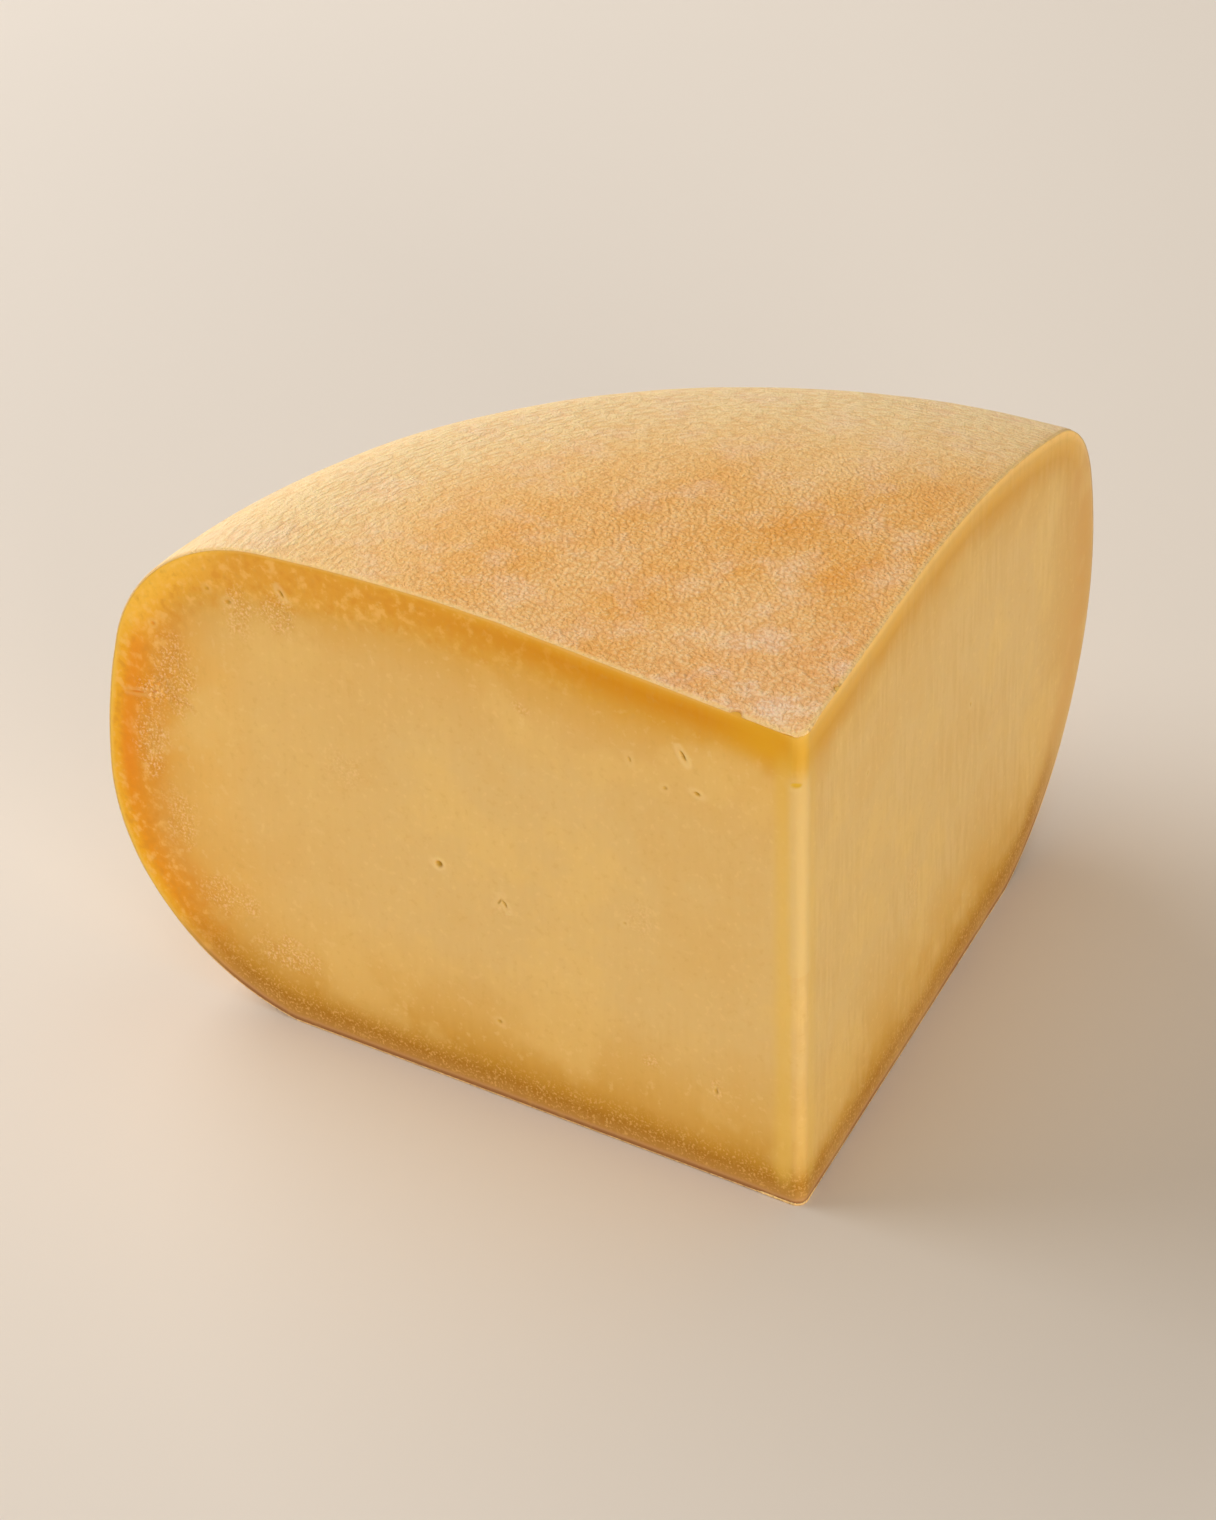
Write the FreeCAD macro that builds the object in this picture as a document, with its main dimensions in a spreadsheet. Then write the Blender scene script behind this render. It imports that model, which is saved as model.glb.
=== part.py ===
import FreeCAD, Part

import os

import Sketcher
from FreeCAD import Placement, Rotation, Vector
from math import atan2, cos, radians, sin, sqrt, tan

# A wedge cut from a wheel of gouda, just under a quarter of it, standing on
# the wheel's underside. Two knife cuts meet in an upright edge where the
# middle of the wheel was. Millimetres, +Z up, the edge at the front (-Y), and
# the wedge the same width on both sides of the YZ plane.
#
# A wheel slumps while it ripens, so it isn't the same all the way round. Its
# section is therefore given twice, at the left cut and at the right cut, and
# every section between them is worked out from those two. A section runs from
# the wheel's axis along the flat underside, round the heel, up the belly, over
# the shoulder and back in along the crown: one line and four arcs that meet
# without a corner, and a straight slope that dips to the middle of the wheel.

# What each section is drawn from: name, size at the left cut, size at the
# right cut, and what the size is.
SECTION_SIZES = [
    ("middle_height", 119.3, 120.2, "height at the wheel's axis"),
    ("crown_start", 71.0, 53.0, "distance from the axis where the crown begins to fall"),
    ("crown_height", 123.1, 119.2, "height there"),
    ("crown_radius", 468.0, 254.0, "radius of the crown's arc"),
    ("shoulder_radius", 43.5, 33.6, "radius of the upper shoulder"),
    ("belly_reach", 167.8, 165.7, "distance of the belly from the axis"),
    ("belly_height", 52.5, 59.2, "height at which the belly stands out furthest"),
    ("belly_radius", 156.0, 88.0, "radius of the rim's arc from the belly up to the shoulder"),
]

# Sizes that hold for the whole wedge.
WEDGE_SIZES = [
    ("wedge_angle", 82.6, "angle between the two cut faces, degrees"),
    ("spare_angle", 4.0, "how far the uncut piece runs on past each cut, degrees"),
    ("tip_radius", 2.5, "rounding of the upright edge between the cut faces"),
    ("pressed_depth", 0.8, "how far the wheel's weight has pressed its underside flat"),
]

# Eyes: small gas holes that the knife opened. Each is a flattened ball, set on
# a cut face: distance from the wheel's axis, height, half length, half width,
# depth, and the angle in degrees that its length leans from level.
LEFT_FACE_HOLES = [
    ("round_eye", 86.0, 56.1, 0.95, 0.9, 1.3, 0.0),
    ("slit_eye", 27.5, 105.3, 1.2, 0.4, 1.0, 120.0),
    ("small_eye", 24.3, 97.1, 0.7, 0.4, 0.7, 165.0),
    ("bent_eye", 70.9, 51.8, 1.5, 0.45, 1.0, 60.0),
    ("rim_eye", 121.9, 111.3, 0.7, 0.5, 0.8, 20.0),
    ("left_nick", 15.3, 119.9, 1.1, 0.8, 0.7, 30.0),
]
RIGHT_FACE_HOLES = [
    ("right_nick", 18.1, 120.0, 0.9, 0.7, 0.6, 150.0),
]
TIP_HOLES = [
    ("tip_eye", 1.6, 107.3, 1.5, 0.8, 1.2, 5.0),
]

SECTION_COUNT = 6
NODE = "gouda_wedge"


def make_sheet(doc):
    """The driving sizes, one alias each, with what they mean beside them."""
    sheet = doc.addObject("Spreadsheet::Sheet", "Sizes")
    rows = []
    for name, left, right, meaning in SECTION_SIZES:
        rows.append(("left_" + name, left, meaning + ", left cut"))
        rows.append(("right_" + name, right, meaning + ", right cut"))
    rows.extend(WEDGE_SIZES)
    for hole in LEFT_FACE_HOLES + RIGHT_FACE_HOLES + TIP_HOLES:
        name, out, up, half_length, half_width, depth, lean = hole
        rows.append((name + "_out", out, "distance from the axis"))
        rows.append((name + "_up", up, "height"))
        rows.append((name + "_long", half_length, "half length"))
        rows.append((name + "_wide", half_width, "half width"))
        rows.append((name + "_deep", depth, "depth"))
        rows.append((name + "_lean", lean, "lean from level, degrees"))
    for number, (alias, value, meaning) in enumerate(rows, start=1):
        sheet.set("A%d" % number, str(value))
        sheet.set("B%d" % number, meaning)
        sheet.setAlias("A%d" % number, alias)
    doc.recompute()
    return sheet


def origin_plane(body, role):
    """One of the body's own origin planes."""
    for feature in body.Origin.OriginFeatures:
        if feature.Role == role:
            return feature
    raise ValueError("no origin plane " + role)


def attach(feature, plane, offset):
    feature.AttachmentSupport = [(plane, "")]
    feature.MapMode = "FlatFace"
    feature.AttachmentOffset = offset


def set_dimension(sketch, kind, where, value, name, formula):
    """A named dimension of a sketch, bound to a formula of the sheet's sizes."""
    index = sketch.addConstraint(Sketcher.Constraint(kind, *where, value))
    sketch.renameConstraint(index, name)
    sketch.setExpression("Constraints." + name, formula)


def at_share(sheet, name, share):
    """A section size at a share of the way from the left cut to the right."""
    left = float(sheet.get("left_" + name))
    right = float(sheet.get("right_" + name))
    return left + (right - left) * share


def share_expression(name, share):
    """The same as a formula that the sheet drives."""
    return "Sizes.left_%s + (Sizes.right_%s - Sizes.left_%s) * %.6f" % (name, name, name, share)


def arc_between(centre, radius, first, last):
    """Arc about a centre, drawn from its last point back to its first one."""
    start = atan2(last.y - centre.y, last.x - centre.x)
    end = atan2(first.y - centre.y, first.x - centre.x)
    return Part.ArcOfCircle(Part.Circle(centre, Vector(0, 0, 1), radius), start, end)


def core_gap(sheet):
    """How far short of the axis a section stops, well inside what the tip's rounding takes away."""
    half = radians(float(sheet.get("wedge_angle")) / 2)
    return float(sheet.get("tip_radius")) * (1 / sin(half) - 1) / 2


def section_outline(sheet, share):
    """Section of the wheel: x is the distance from the axis, y the height.

    The crown's arc starts level at the crown's top, the belly's arc is upright
    at the belly, and the shoulder's arc is tangent to both from inside. The
    heel is a quarter circle from the belly down to the level underside, which
    lies lower than the finished one by what is pressed flat later.
    """
    bottom = -float(sheet.get("pressed_depth"))
    crown_radius = at_share(sheet, "crown_radius", share)
    shoulder_radius = at_share(sheet, "shoulder_radius", share)
    belly_radius = at_share(sheet, "belly_radius", share)
    core_foot = Vector(core_gap(sheet), bottom, 0)
    core_top = Vector(core_gap(sheet), at_share(sheet, "middle_height", share), 0)
    crown = Vector(at_share(sheet, "crown_start", share), at_share(sheet, "crown_height", share), 0)
    belly = Vector(at_share(sheet, "belly_reach", share), at_share(sheet, "belly_height", share), 0)
    crown_centre = crown - Vector(0, crown_radius, 0)
    belly_centre = belly - Vector(belly_radius, 0, 0)

    # The shoulder's centre lies where two circles cross.
    from_crown = crown_radius - shoulder_radius
    from_belly = belly_radius - shoulder_radius
    between = belly_centre - crown_centre
    apart = between.Length
    along = between.normalize()
    foot_of_height = (from_crown ** 2 - from_belly ** 2 + apart ** 2) / (2 * apart)
    height = sqrt(from_crown ** 2 - foot_of_height ** 2)
    outward = Vector(-along.y, along.x, 0)
    if outward.x < 0:
        outward = outward * -1
    shoulder_centre = crown_centre + along * foot_of_height + outward * height
    shoulder_top = crown_centre + (shoulder_centre - crown_centre) * (crown_radius / from_crown)
    shoulder_end = belly_centre + (shoulder_centre - belly_centre) * (belly_radius / from_belly)

    heel_radius = belly.y - bottom
    heel_centre = belly - Vector(heel_radius, 0, 0)
    heel_foot = Vector(heel_centre.x, bottom, 0)

    return [
        Part.LineSegment(core_foot, core_top),
        Part.LineSegment(core_top, crown),
        arc_between(crown_centre, crown_radius, crown, shoulder_top),
        arc_between(shoulder_centre, shoulder_radius, shoulder_top, shoulder_end),
        arc_between(belly_centre, belly_radius, shoulder_end, belly),
        arc_between(heel_centre, heel_radius, belly, heel_foot),
        Part.LineSegment(heel_foot, core_foot),
    ]


def add_section(body, sheet, number, share):
    """Sketch of the wheel's section in an upright plane through its axis."""
    sketch = body.newObject("Sketcher::SketchObject", "Section%d" % number)
    turned = Placement(Vector(0, 0, 0), Rotation(Vector(0, 1, 0), 1))
    attach(sketch, origin_plane(body, "XZ_Plane"), turned)
    sketch.setExpression("AttachmentOffset.Rotation.Angle",
                         "90 + Sizes.wedge_angle * %.6f" % (0.5 - share))
    core, slope, crown, shoulder, belly, heel, underside = range(7)
    start, end, centre = 1, 2, 3
    sketch.addGeometry(section_outline(sheet, share), False)
    fix = Sketcher.Constraint
    sketch.addConstraint([
        fix("Vertical", core),
        fix("Coincident", core, end, slope, start),
        fix("Coincident", slope, end, crown, end),
        fix("Tangent", crown, start, shoulder, end),
        fix("Tangent", shoulder, start, belly, end),
        fix("Tangent", belly, start, heel, end),
        fix("Tangent", heel, start, underside, start),
        fix("Coincident", underside, end, core, start),
        fix("Horizontal", underside),
        fix("Vertical", crown, centre, crown, end),
        fix("Horizontal", belly, centre, heel, centre),
    ])

    def drive(kind, where, name):
        """A dimension whose value follows the sheet."""
        set_dimension(sketch, kind, where, at_share(sheet, name, share), name,
                      share_expression(name, share))

    drive("DistanceY", (-1, 1, core, end), "middle_height")
    drive("DistanceX", (-1, 1, crown, end), "crown_start")
    drive("DistanceY", (-1, 1, crown, end), "crown_height")
    drive("Radius", (crown,), "crown_radius")
    drive("Radius", (shoulder,), "shoulder_radius")
    drive("Radius", (belly,), "belly_radius")
    drive("DistanceY", (-1, 1, belly, centre), "belly_height")
    centre_out = at_share(sheet, "belly_reach", share) - at_share(sheet, "belly_radius", share)
    formulas = share_expression("belly_reach", share), share_expression("belly_radius", share)
    set_dimension(sketch, "DistanceX", (-1, 1, belly, centre), centre_out, "belly_centre",
                  "%s - (%s)" % formulas)
    set_dimension(sketch, "DistanceX", (-1, 1, core, start), core_gap(sheet), "core_gap",
                  "Sizes.tip_radius * (1 / sin(Sizes.wedge_angle / 2) - 1) / 2")
    set_dimension(sketch, "DistanceY", (core, start, -1, 1), float(sheet.get("pressed_depth")),
                  "pressed_depth", "Sizes.pressed_depth")
    return sketch


def add_wheel_piece(body, sheet):
    """The uncut piece of the wheel: a loft through its sections."""
    spare = float(sheet.get("spare_angle")) / float(sheet.get("wedge_angle"))
    sections = []
    for number in range(SECTION_COUNT):
        share = -spare + (1 + 2 * spare) * number / (SECTION_COUNT - 1)
        sections.append(add_section(body, sheet, number + 1, share))
    body.Document.recompute()
    loft = body.newObject("PartDesign::AdditiveLoft", "WheelPiece")
    loft.Profile = sections[0]
    loft.Sections = sections[1:]
    body.Document.recompute()
    return loft


def add_underside(body, sheet):
    """The flat that the wheel stands on: a pocket takes away all that lies below it."""
    side = 3 * max(float(sheet.get("left_belly_reach")), float(sheet.get("right_belly_reach")))
    corners = [Vector(x * side, y * side, 0) / 2 for x, y in ((-1, -1), (1, -1), (1, 1), (-1, 1))]
    sketch = body.newObject("Sketcher::SketchObject", "ShelfOutline")
    attach(sketch, origin_plane(body, "XY_Plane"), Placement())
    sketch.addGeometry([Part.LineSegment(corners[n], corners[(n + 1) % 4]) for n in range(4)], False)
    fix = Sketcher.Constraint
    sketch.addConstraint([fix("Coincident", n, 2, (n + 1) % 4, 1) for n in range(4)])
    sketch.addConstraint([fix("Horizontal", 0), fix("Horizontal", 2), fix("Vertical", 1),
                          fix("Vertical", 3), fix("Symmetric", 0, 1, 1, 2, -1, 1)])
    width = "3 * max(Sizes.left_belly_reach; Sizes.right_belly_reach)"
    set_dimension(sketch, "DistanceX", (0, 1, 0, 2), side, "shelf_width", width)
    set_dimension(sketch, "DistanceY", (1, 1, 1, 2), side, "shelf_length", width)
    return add_pocket(body, sketch, "Underside", False)


def add_pocket(body, sketch, name, upwards):
    """A pocket that runs right through, up or down, and does take something away."""
    body.Document.recompute()
    before = body.Shape.Volume
    pocket = body.newObject("PartDesign::Pocket", name)
    pocket.Profile = sketch
    pocket.Type = "ThroughAll"
    pocket.Reversed = upwards
    body.Document.recompute()
    if not 0 < pocket.Shape.Volume < before:
        raise ValueError(name + " takes nothing away")
    return pocket


def add_knife_cuts(body, sheet):
    """One pocket for both cuts: it leaves the two faces and the rounded tip."""
    half = radians(float(sheet.get("wedge_angle")) / 2)
    tip = float(sheet.get("tip_radius"))
    reach = 1.2 * max(float(sheet.get("left_belly_reach")), float(sheet.get("right_belly_reach")))
    to_centre = tip / sin(half)
    to_touch = tip / tan(half)
    left_way = Vector(-sin(half), cos(half), 0)
    right_way = Vector(sin(half), cos(half), 0)
    tip_centre = Vector(0, to_centre, 0)
    left_touch = left_way * to_touch
    right_touch = right_way * to_touch
    left_far = left_way * reach
    right_far = right_way * reach
    left_front = Vector(-reach, -reach / 4, 0)
    right_front = Vector(reach, -reach / 4, 0)

    sketch = body.newObject("Sketcher::SketchObject", "KnifeOutline")
    attach(sketch, origin_plane(body, "XY_Plane"), Placement())
    left, left_side, front, right_side, right, nose = range(6)
    start, end, centre = 1, 2, 3
    sketch.addGeometry([
        Part.LineSegment(left_touch, left_far),
        Part.LineSegment(left_far, left_front),
        Part.LineSegment(left_front, right_front),
        Part.LineSegment(right_front, right_far),
        Part.LineSegment(right_far, right_touch),
        Part.ArcOfCircle(Part.Circle(tip_centre, Vector(0, 0, 1), tip),
                         atan2(left_touch.y - to_centre, left_touch.x) % radians(360),
                         atan2(right_touch.y - to_centre, right_touch.x) % radians(360)),
    ], False)
    fix = Sketcher.Constraint
    sketch.addConstraint([
        fix("Coincident", left, end, left_side, start),
        fix("Coincident", left_side, end, front, start),
        fix("Coincident", front, end, right_side, start),
        fix("Coincident", right_side, end, right, start),
        fix("Tangent", right, end, nose, end),
        fix("Tangent", nose, start, left, start),
        fix("PointOnObject", nose, centre, -2),
        fix("Symmetric", left, end, right, start, -2),
        fix("Symmetric", front, start, front, end, -2),
    ])

    furthest = "max(Sizes.left_belly_reach; Sizes.right_belly_reach)"
    set_dimension(sketch, "Radius", (nose,), tip, "tip_radius", "Sizes.tip_radius")
    set_dimension(sketch, "DistanceY", (-1, 1, nose, centre), to_centre, "tip_centre",
                  "Sizes.tip_radius / sin(Sizes.wedge_angle / 2)")
    set_dimension(sketch, "DistanceX", (left, end, -1, 1), right_far.x, "far_side",
                  "1.2 * %s * sin(Sizes.wedge_angle / 2)" % furthest)
    set_dimension(sketch, "DistanceY", (-1, 1, left, end), right_far.y, "far_back",
                  "1.2 * %s * cos(Sizes.wedge_angle / 2)" % furthest)
    set_dimension(sketch, "DistanceX", (front, start, -1, 1), reach, "front_side", "1.2 * " + furthest)
    set_dimension(sketch, "DistanceY", (front, start, -1, 1), reach / 4, "front_depth",
                  "0.3 * " + furthest)
    return add_pocket(body, sketch, "KnifeCuts", True)


def add_hole(body, sheet, name, turn, way):
    """Flattened ball sunk into a cut face.

    The face lies at a turn from the YZ plane, given as a share of the half
    angle: 1 on the right cut, -1 on the left one, 0 at the tip. The way is 1
    where the face looks to +X and -1 where it looks to -X.
    """
    ball = body.newObject("PartDesign::SubtractiveEllipsoid", name.title().replace("_", ""))
    half = float(sheet.get("wedge_angle")) / 2
    lean = float(sheet.get(name + "_lean"))
    upright = Rotation(Vector(1, 0, 0), 90)
    facing = Rotation(Vector(0, 0, 1), 90 * way - half * turn if turn else 0)
    attach(ball, origin_plane(body, "XY_Plane"),
           Placement(Vector(0, 0, 0), facing * upright * Rotation(Vector(0, 0, 1), lean)))
    out = "Sizes.%s_out" % name
    side = turn if turn else way
    ball.setExpression("AttachmentOffset.Base.x", "%s * sin(Sizes.wedge_angle / 2) * %d" % (out, side))
    ball.setExpression("AttachmentOffset.Base.y", "%s * cos(Sizes.wedge_angle / 2)" % out)
    ball.setExpression("AttachmentOffset.Base.z", "Sizes.%s_up" % name)
    ball.setExpression("Radius1", "Sizes.%s_deep" % name)
    ball.setExpression("Radius2", "Sizes.%s_long" % name)
    ball.setExpression("Radius3", "Sizes.%s_wide" % name)
    before = len(body.Shape.Faces)
    body.Document.recompute()
    if len(ball.Shape.Faces) <= before:
        raise ValueError("the hole %s leaves no hollow of its own" % name)
    return ball


def check(doc, body):
    for item in doc.Objects:
        if "Invalid" in item.State or "Error" in item.State:
            raise ValueError("%s failed: %s" % (item.Name, item.State))
    if body.Shape.isNull() or not body.Shape.isValid():
        raise ValueError("the wedge has no valid shape")
    if len(body.Shape.Solids) != 1:
        raise ValueError("the wedge is one solid, not %d" % len(body.Shape.Solids))


doc = FreeCAD.newDocument("GoudaWedge")
sheet = make_sheet(doc)
body = doc.addObject("PartDesign::Body", "GoudaWedge")
body.Label = NODE
doc.recompute()
add_wheel_piece(body, sheet)
add_underside(body, sheet)
add_knife_cuts(body, sheet)
for hole in LEFT_FACE_HOLES:
    add_hole(body, sheet, hole[0], -1, -1)
for hole in RIGHT_FACE_HOLES:
    add_hole(body, sheet, hole[0], 1, 1)
for hole in TIP_HOLES:
    add_hole(body, sheet, hole[0], 0, -1)

# The wedge stands on its underside with the origin below the middle of its box.
box = body.Shape.optimalBoundingBox(False)
body.Placement = Placement(Vector(-box.Center.x, -box.Center.y, -box.ZMin), Rotation())
doc.recompute()
check(doc, body)

os.makedirs("parts", exist_ok=True)
body.Shape.exportStep("parts/%s.step" % NODE)
box = body.Shape.optimalBoundingBox(False)
print("box %.2f x %.2f x %.2f mm" % (box.XLength, box.YLength, box.ZLength))
print("axis at x %.2f, y %.2f mm" % (body.Placement.Base.x, body.Placement.Base.y))
print("volume %.1f cm3, %d faces" % (body.Shape.Volume / 1000, len(body.Shape.Faces)))
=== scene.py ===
# %% [markdown]
# A quarter of a ripe gouda wheel.
#
# The real thing is simple to describe. A wheel of cheese slumps while it
# ripens on the shelf, its outside dries to a rind, and a knife then takes a
# wedge out of it. This lesson follows that order: the wheel's section is drawn
# first, it is fanned round the wheel's axis to make the rind and the paste
# below it, the knife's marks and the eyes come next, and colour comes last.
#
# Everything is in metres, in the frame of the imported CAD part.

# %% Load the frame
import math

import bmesh
import bpy
from mathutils import Matrix, Vector, kdtree, noise


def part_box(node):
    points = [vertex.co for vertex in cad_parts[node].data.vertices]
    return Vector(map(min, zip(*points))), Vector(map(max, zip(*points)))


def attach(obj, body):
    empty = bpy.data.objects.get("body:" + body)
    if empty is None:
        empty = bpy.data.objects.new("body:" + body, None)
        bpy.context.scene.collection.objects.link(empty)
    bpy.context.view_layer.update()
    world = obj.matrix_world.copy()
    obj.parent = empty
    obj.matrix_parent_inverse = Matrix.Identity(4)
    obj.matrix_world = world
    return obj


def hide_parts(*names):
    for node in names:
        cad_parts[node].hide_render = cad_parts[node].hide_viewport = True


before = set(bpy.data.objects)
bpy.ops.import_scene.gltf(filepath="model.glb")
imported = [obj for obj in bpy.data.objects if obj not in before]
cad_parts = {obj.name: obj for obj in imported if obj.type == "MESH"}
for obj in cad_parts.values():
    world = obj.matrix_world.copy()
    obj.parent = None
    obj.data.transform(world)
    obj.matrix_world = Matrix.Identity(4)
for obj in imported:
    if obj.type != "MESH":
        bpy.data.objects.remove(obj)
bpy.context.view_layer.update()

MM = 0.001
low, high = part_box("gouda_wedge")
print("the wedge's box in mm:", [round(x / MM, 1) for x in high - low])

# %% [markdown]
# A node tree is easier to read as arithmetic than as a long list of links.
# Value wraps one socket, and each sign between two Values adds a Math node.
# Recipe fills one tree: its add method makes any node, sets it up and feeds
# its sockets. Materials and Geometry Nodes both use them.

# %% Helpers for node trees
def feed(tree, value, socket):
    """Links a Value to an input socket, or writes a plain value into it."""
    if isinstance(value, Value):
        tree.links.new(value.socket, socket)
    elif value is not None:
        socket.default_value = value


class Value:
    """An output socket that Python's own signs can calculate with."""

    def __init__(self, socket):
        self.socket = socket

    def math(self, operation, *terms):
        tree = self.socket.id_data
        node = tree.nodes.new("ShaderNodeMath")
        node.operation = operation
        for term, socket in zip(terms, node.inputs):
            feed(tree, term, socket)
        return Value(node.outputs[0])

    def __add__(self, other):
        return self.math("ADD", self, other)

    def __sub__(self, other):
        return self.math("SUBTRACT", self, other)

    def __rsub__(self, other):
        return self.math("SUBTRACT", other, self)

    def __mul__(self, other):
        return self.math("MULTIPLY", self, other)

    def __truediv__(self, other):
        return self.math("DIVIDE", self, other)

    def __pow__(self, other):
        return self.math("POWER", self, other)

    __radd__ = __add__
    __rmul__ = __mul__

    def other(self, name):
        """Another output of the node that this one comes from."""
        return Value(self.socket.node.outputs[name])

    def ease(self, start, end):
        """0 at start, 1 at end, and smooth between them."""
        tree = self.socket.id_data
        node = tree.nodes.new("ShaderNodeMapRange")
        node.interpolation_type = "SMOOTHSTEP"
        feed(tree, self, node.inputs["Value"])
        node.inputs["From Min"].default_value = start
        node.inputs["From Max"].default_value = end
        return Value(node.outputs["Result"])


class Recipe:
    """A node tree that is filled from Python."""

    def __init__(self, tree):
        self.tree = tree

    def add(self, kind, sockets=None, out=0, stops=None, **settings):
        """A node of that kind. Its settings come first, then its sockets."""
        node = self.tree.nodes.new(kind)
        for name, value in settings.items():
            setattr(node, name, value)
        if stops:
            steps = node.color_ramp.elements
            while len(steps) < len(stops):
                steps.new(1.0)
            for step, (place, shade) in zip(steps, stops):
                step.position = place
                step.color = shade
        for name, value in (sockets or {}).items():
            feed(self.tree, value, node.inputs[name])
        return Value(node.outputs[out])

    def vector(self, operation, first, second, out=0):
        """Vector arithmetic, which a Math node can't do."""
        return self.add("ShaderNodeVectorMath", {0: first, 1: second}, out, operation=operation)

    def scaled(self, vector, amount):
        return self.add("ShaderNodeVectorMath", {0: vector, "Scale": amount}, operation="SCALE")

    def split(self, vector):
        """The three parts of a vector."""
        x = self.add("ShaderNodeSeparateXYZ", {0: vector}, "X")
        return x, x.other("Y"), x.other("Z")

    def blend(self, share, first, second):
        """A colour between two colours."""
        return self.add("ShaderNodeMix", {0: share, 6: first, 7: second}, 2, data_type="RGBA")


# %% [markdown]
# The camera stands a little over a metre off and looks down on the wedge's
# upright edge. A long lens from there keeps the cheese's sides near parallel,
# as food is usually shown. Three plain turns place it: heading, tilt, roll.

# %% Camera
def new_object(name, data):
    """An object in the scene that holds this data."""
    made = bpy.data.objects.new(name, data)
    bpy.context.scene.collection.objects.link(made)
    return made


CAMERA_PLACE = (-0.3576, -1.1195, 0.9283)
HEADING = math.radians(-17.09)
LOOK_DOWN = math.radians(36.59)
ROLL = math.radians(-1.05)
camera_data = bpy.data.cameras.new("camera")
camera_data.sensor_width = 36.0
camera_data.lens = 165.8
camera_data.clip_end = 50.0
camera = new_object("camera", camera_data)
heading = Matrix.Rotation(HEADING, 4, "Z")
tilt = Matrix.Rotation(math.pi / 2 - LOOK_DOWN, 4, "X")
roll = Matrix.Rotation(ROLL, 4, "Z")
camera.matrix_world = Matrix.Translation(CAMERA_PLACE) @ heading @ tilt @ roll
bpy.context.scene.camera = camera
print("camera at", [round(x, 3) for x in camera.location])

# %% [markdown]
# The wheel's section is one straight slope and four arcs that meet without a
# corner: crown, shoulder, belly and heel, and then the flat underside. The
# wheel has slumped unevenly, so the section at the left cut isn't the one at
# the right cut. All the radii follow from a few sizes that can be measured on
# a cheese, so a function works the points out rather than listing them. An
# inset draws the same section that much further in, for what lies under the
# rind: every arc then loses that much radius.

# %% Section of the wheel
LEFT_CUT = {
    "middle_height": 119.3, "crown_start": 71.0, "crown_height": 123.1, "crown_radius": 468.0,
    "shoulder_radius": 43.5, "belly_reach": 167.8, "belly_height": 52.5, "belly_radius": 156.0,
}
RIGHT_CUT = {
    "middle_height": 120.2, "crown_start": 53.0, "crown_height": 119.2, "crown_radius": 254.0,
    "shoulder_radius": 33.6, "belly_reach": 165.7, "belly_height": 59.2, "belly_radius": 88.0,
}
PRESSED_DEPTH = 0.8


def arc(centre, radius, start, end, steps):
    """Points on an arc from one angle to another, without its last one."""
    turns = [start + (end - start) * n / steps for n in range(steps)]
    return [centre + radius * Vector((math.cos(t), math.sin(t))) for t in turns]


def straight(start, end, steps):
    return [start.lerp(end, n / steps) for n in range(steps)]


def section(cut, inset, steps):
    """The section's points in millimetres: distance from the axis, height.

    steps says how many go to the slope, crown, shoulder, belly, heel and
    underside.
    """
    crown = Vector((cut["crown_start"], cut["crown_height"]))
    belly = Vector((cut["belly_reach"], cut["belly_height"]))
    crown_centre = crown - Vector((0, cut["crown_radius"]))
    belly_centre = belly - Vector((cut["belly_radius"], 0))
    from_crown = cut["crown_radius"] - cut["shoulder_radius"]
    from_belly = cut["belly_radius"] - cut["shoulder_radius"]
    between = belly_centre - crown_centre
    apart = between.length
    along = between / apart
    foot = (from_crown ** 2 - from_belly ** 2 + apart ** 2) / (2 * apart)
    outward = Vector((-along.y, along.x))
    if outward.x < 0:
        outward = -outward
    shoulder_centre = crown_centre + along * foot + outward * math.sqrt(from_crown ** 2 - foot ** 2)
    to_top = shoulder_centre - crown_centre
    to_side = shoulder_centre - belly_centre
    top_turn = math.atan2(to_top.y, to_top.x)
    side_turn = math.atan2(to_side.y, to_side.x)
    heel_radius = belly.y + PRESSED_DEPTH
    heel_centre = belly - Vector((heel_radius, 0))
    heel_inset_radius = heel_radius - inset
    heel_end = -math.asin((belly.y - inset) / heel_inset_radius)
    down = Vector((0, inset))
    heel_foot = heel_centre + heel_inset_radius * Vector((math.cos(heel_end), math.sin(heel_end)))
    points = straight(Vector((0, cut["middle_height"])) - down, crown - down, steps[0])
    points += arc(crown_centre, cut["crown_radius"] - inset, math.pi / 2, top_turn, steps[1])
    points += arc(shoulder_centre, cut["shoulder_radius"] - inset, top_turn, side_turn, steps[2])
    points += arc(belly_centre, cut["belly_radius"] - inset, side_turn, 0, steps[3])
    points += arc(heel_centre, heel_inset_radius, 0, heel_end, steps[4])
    points += straight(heel_foot, Vector((0, inset)), steps[5])
    return points + [Vector((0, inset))]


def section_object(name, cut, inset, steps):
    """A line of loose points that Geometry Nodes can read by number."""
    points = [(p.x * MM, 0, p.y * MM) for p in section(cut, inset, steps)]
    mesh = bpy.data.meshes.new(name)
    mesh.from_pydata(points, [(n, n + 1) for n in range(len(points) - 1)], [])
    print(name, "has", len(points), "points, reach", round(max(p[0] for p in points) / MM, 1), "mm")
    return new_object(name, mesh)


# %% [markdown]
# Where the two cuts meet, the knife leaves an upright edge that is slightly
# rounded. In plan that edge is an arc between the two cut faces, so the wheel's
# points can't start on the axis: at each angle they start on that arc. tip_gap
# is the distance from the axis to the arc, as nodes. The wheel's axis itself
# isn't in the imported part, but the box's sides give it away: the left side is
# as far from the axis as the left belly's reach goes.

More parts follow.
